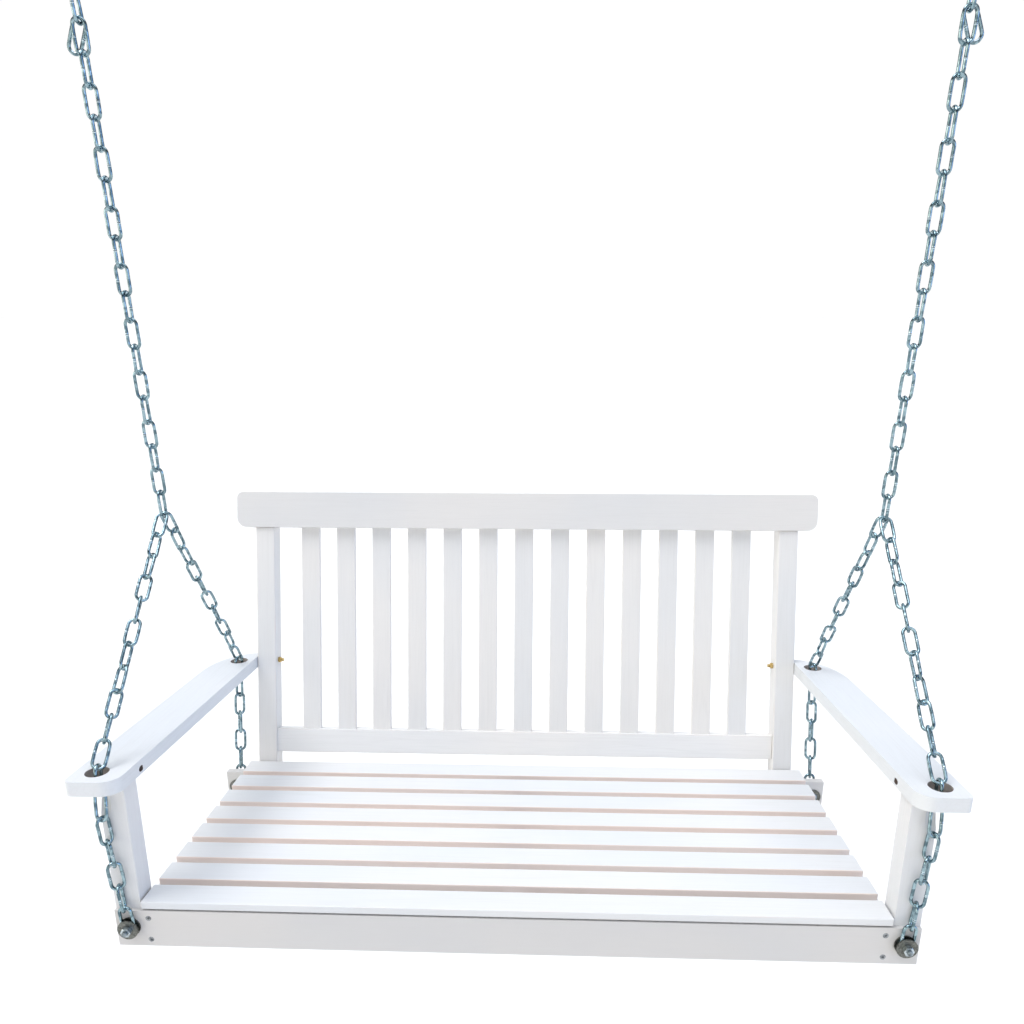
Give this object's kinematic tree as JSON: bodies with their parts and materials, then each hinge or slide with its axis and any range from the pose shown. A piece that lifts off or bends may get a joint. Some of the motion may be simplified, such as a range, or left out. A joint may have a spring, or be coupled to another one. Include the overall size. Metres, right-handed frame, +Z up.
{
  "type": "porch swing",
  "caption": "White slatted wooden porch swing bench with armrests, hung from Y-shaped galvanised chains on two screw hooks.",
  "frame": {"origin": "midway between the two hooks, on the face of the beam that they screw into", "axes": "+Z up along the hooks' shanks, +Y to the back of the bench, +X to the right of someone who stands in front and faces the bench"},
  "size_m": [1.212, 0.6532, 1.3907],
  "materials": {
    "white_paint": "satin",
    "zinc_chain": "satin",
    "zinc_hardware": "satin",
    "brass_hardware": "satin"
  },
  "bodies": {
    "hooks": {"hook_left": "zinc_hardware", "hook_right": "zinc_hardware"},
    "left_hanger": {"hook_link_left": "zinc_chain"},
    "left_chain": {"main_chain_left": "zinc_chain", "spare_link_left": "zinc_chain"},
    "left_junction": {"junction_link_left": "zinc_chain"},
    "right_hanger": {"hook_link_right": "zinc_chain"},
    "right_chain": {"main_chain_right": "zinc_chain", "spare_link_right": "zinc_chain"},
    "right_junction": {"junction_link_right": "zinc_chain"},
    "seat": {"front_leg_chain_left": "zinc_chain", "front_leg_chain_right": "zinc_chain", "rear_leg_chain_left": "zinc_chain", "rear_leg_chain_right": "zinc_chain", "front_rail": "white_paint", "rear_rail": "white_paint", "side_rail_left": "white_paint", "side_rail_right": "white_paint", "centre_bearer": "white_paint", "seat_slat_1": "white_paint", "seat_slat_2": "white_paint", "seat_slat_3": "white_paint", "seat_slat_4": "white_paint", "seat_slat_5": "white_paint", "seat_slat_6": "white_paint", "seat_slat_7": "white_paint", "seat_slat_8": "white_paint", "front_post_left": "white_paint", "front_post_right": "white_paint", "armrest_left": "white_paint", "armrest_right": "white_paint", "back_stile_left": "white_paint", "back_stile_right": "white_paint", "back_top_rail": "white_paint", "back_bottom_rail": "white_paint", "back_slat_1": "white_paint", "back_slat_2": "white_paint", "back_slat_3": "white_paint", "back_slat_4": "white_paint", "back_slat_5": "white_paint", "back_slat_6": "white_paint", "back_slat_7": "white_paint", "back_slat_8": "white_paint", "back_slat_9": "white_paint", "back_slat_10": "white_paint", "back_slat_11": "white_paint", "back_slat_12": "white_paint", "back_slat_13": "white_paint", "chain_bolts": "zinc_hardware", "chain_washers": "zinc_hardware", "chain_nuts": "zinc_hardware", "stile_bolts": "zinc_hardware", "stile_nuts": "zinc_hardware", "armrest_bolts": "brass_hardware", "armrest_nuts": "brass_hardware", "armrest_screws": "zinc_hardware", "rail_screws": "zinc_hardware", "slat_screws": "zinc_hardware", "top_rail_screws": "zinc_hardware"}
  },
  "joints": [
    {"name": "swing", "type": "hinge", "parent": "hooks", "child": "left_hanger", "pos_m": [-0.565, 0, -0.04], "axis": [1, 0, 0], "range_deg": [-32, 32]},
    {"name": "sway", "type": "hinge", "parent": "left_hanger", "child": "left_chain", "pos_m": [-0.565, 0, -0.0725], "axis": [0, 1, 0], "range_deg": [-8, 8]},
    {"name": "left_level", "type": "hinge", "parent": "left_chain", "child": "left_junction", "pos_m": [-0.565, 0, -0.68991], "axis": [0, 1, 0], "range_deg": [-8, 8]},
    {"name": "seat_tilt", "type": "hinge", "parent": "left_junction", "child": "seat", "pos_m": [-0.565, 0, -0.72322], "axis": [1, 0, 0], "range_deg": [-10, 10]},
    {"name": "right_swing", "type": "hinge", "parent": "hooks", "child": "right_hanger", "pos_m": [0.565, 0, -0.04], "axis": [1, 0, 0], "range_deg": [-32, 32]},
    {"name": "right_sway", "type": "hinge", "parent": "right_hanger", "child": "right_chain", "pos_m": [0.565, 0, -0.0725], "axis": [0, 1, 0], "range_deg": [-8, 8]},
    {"name": "right_level", "type": "hinge", "parent": "right_chain", "child": "right_junction", "pos_m": [0.565, 0, -0.68991], "axis": [0, 1, 0], "range_deg": [-8, 8]}
  ],
  "couplings": [
    {"joint": "left_level", "follows": "sway", "ratio": -1},
    {"joint": "right_swing", "follows": "swing", "ratio": 1},
    {"joint": "right_sway", "follows": "sway", "ratio": 1},
    {"joint": "right_level", "follows": "sway", "ratio": -1}
  ]
}
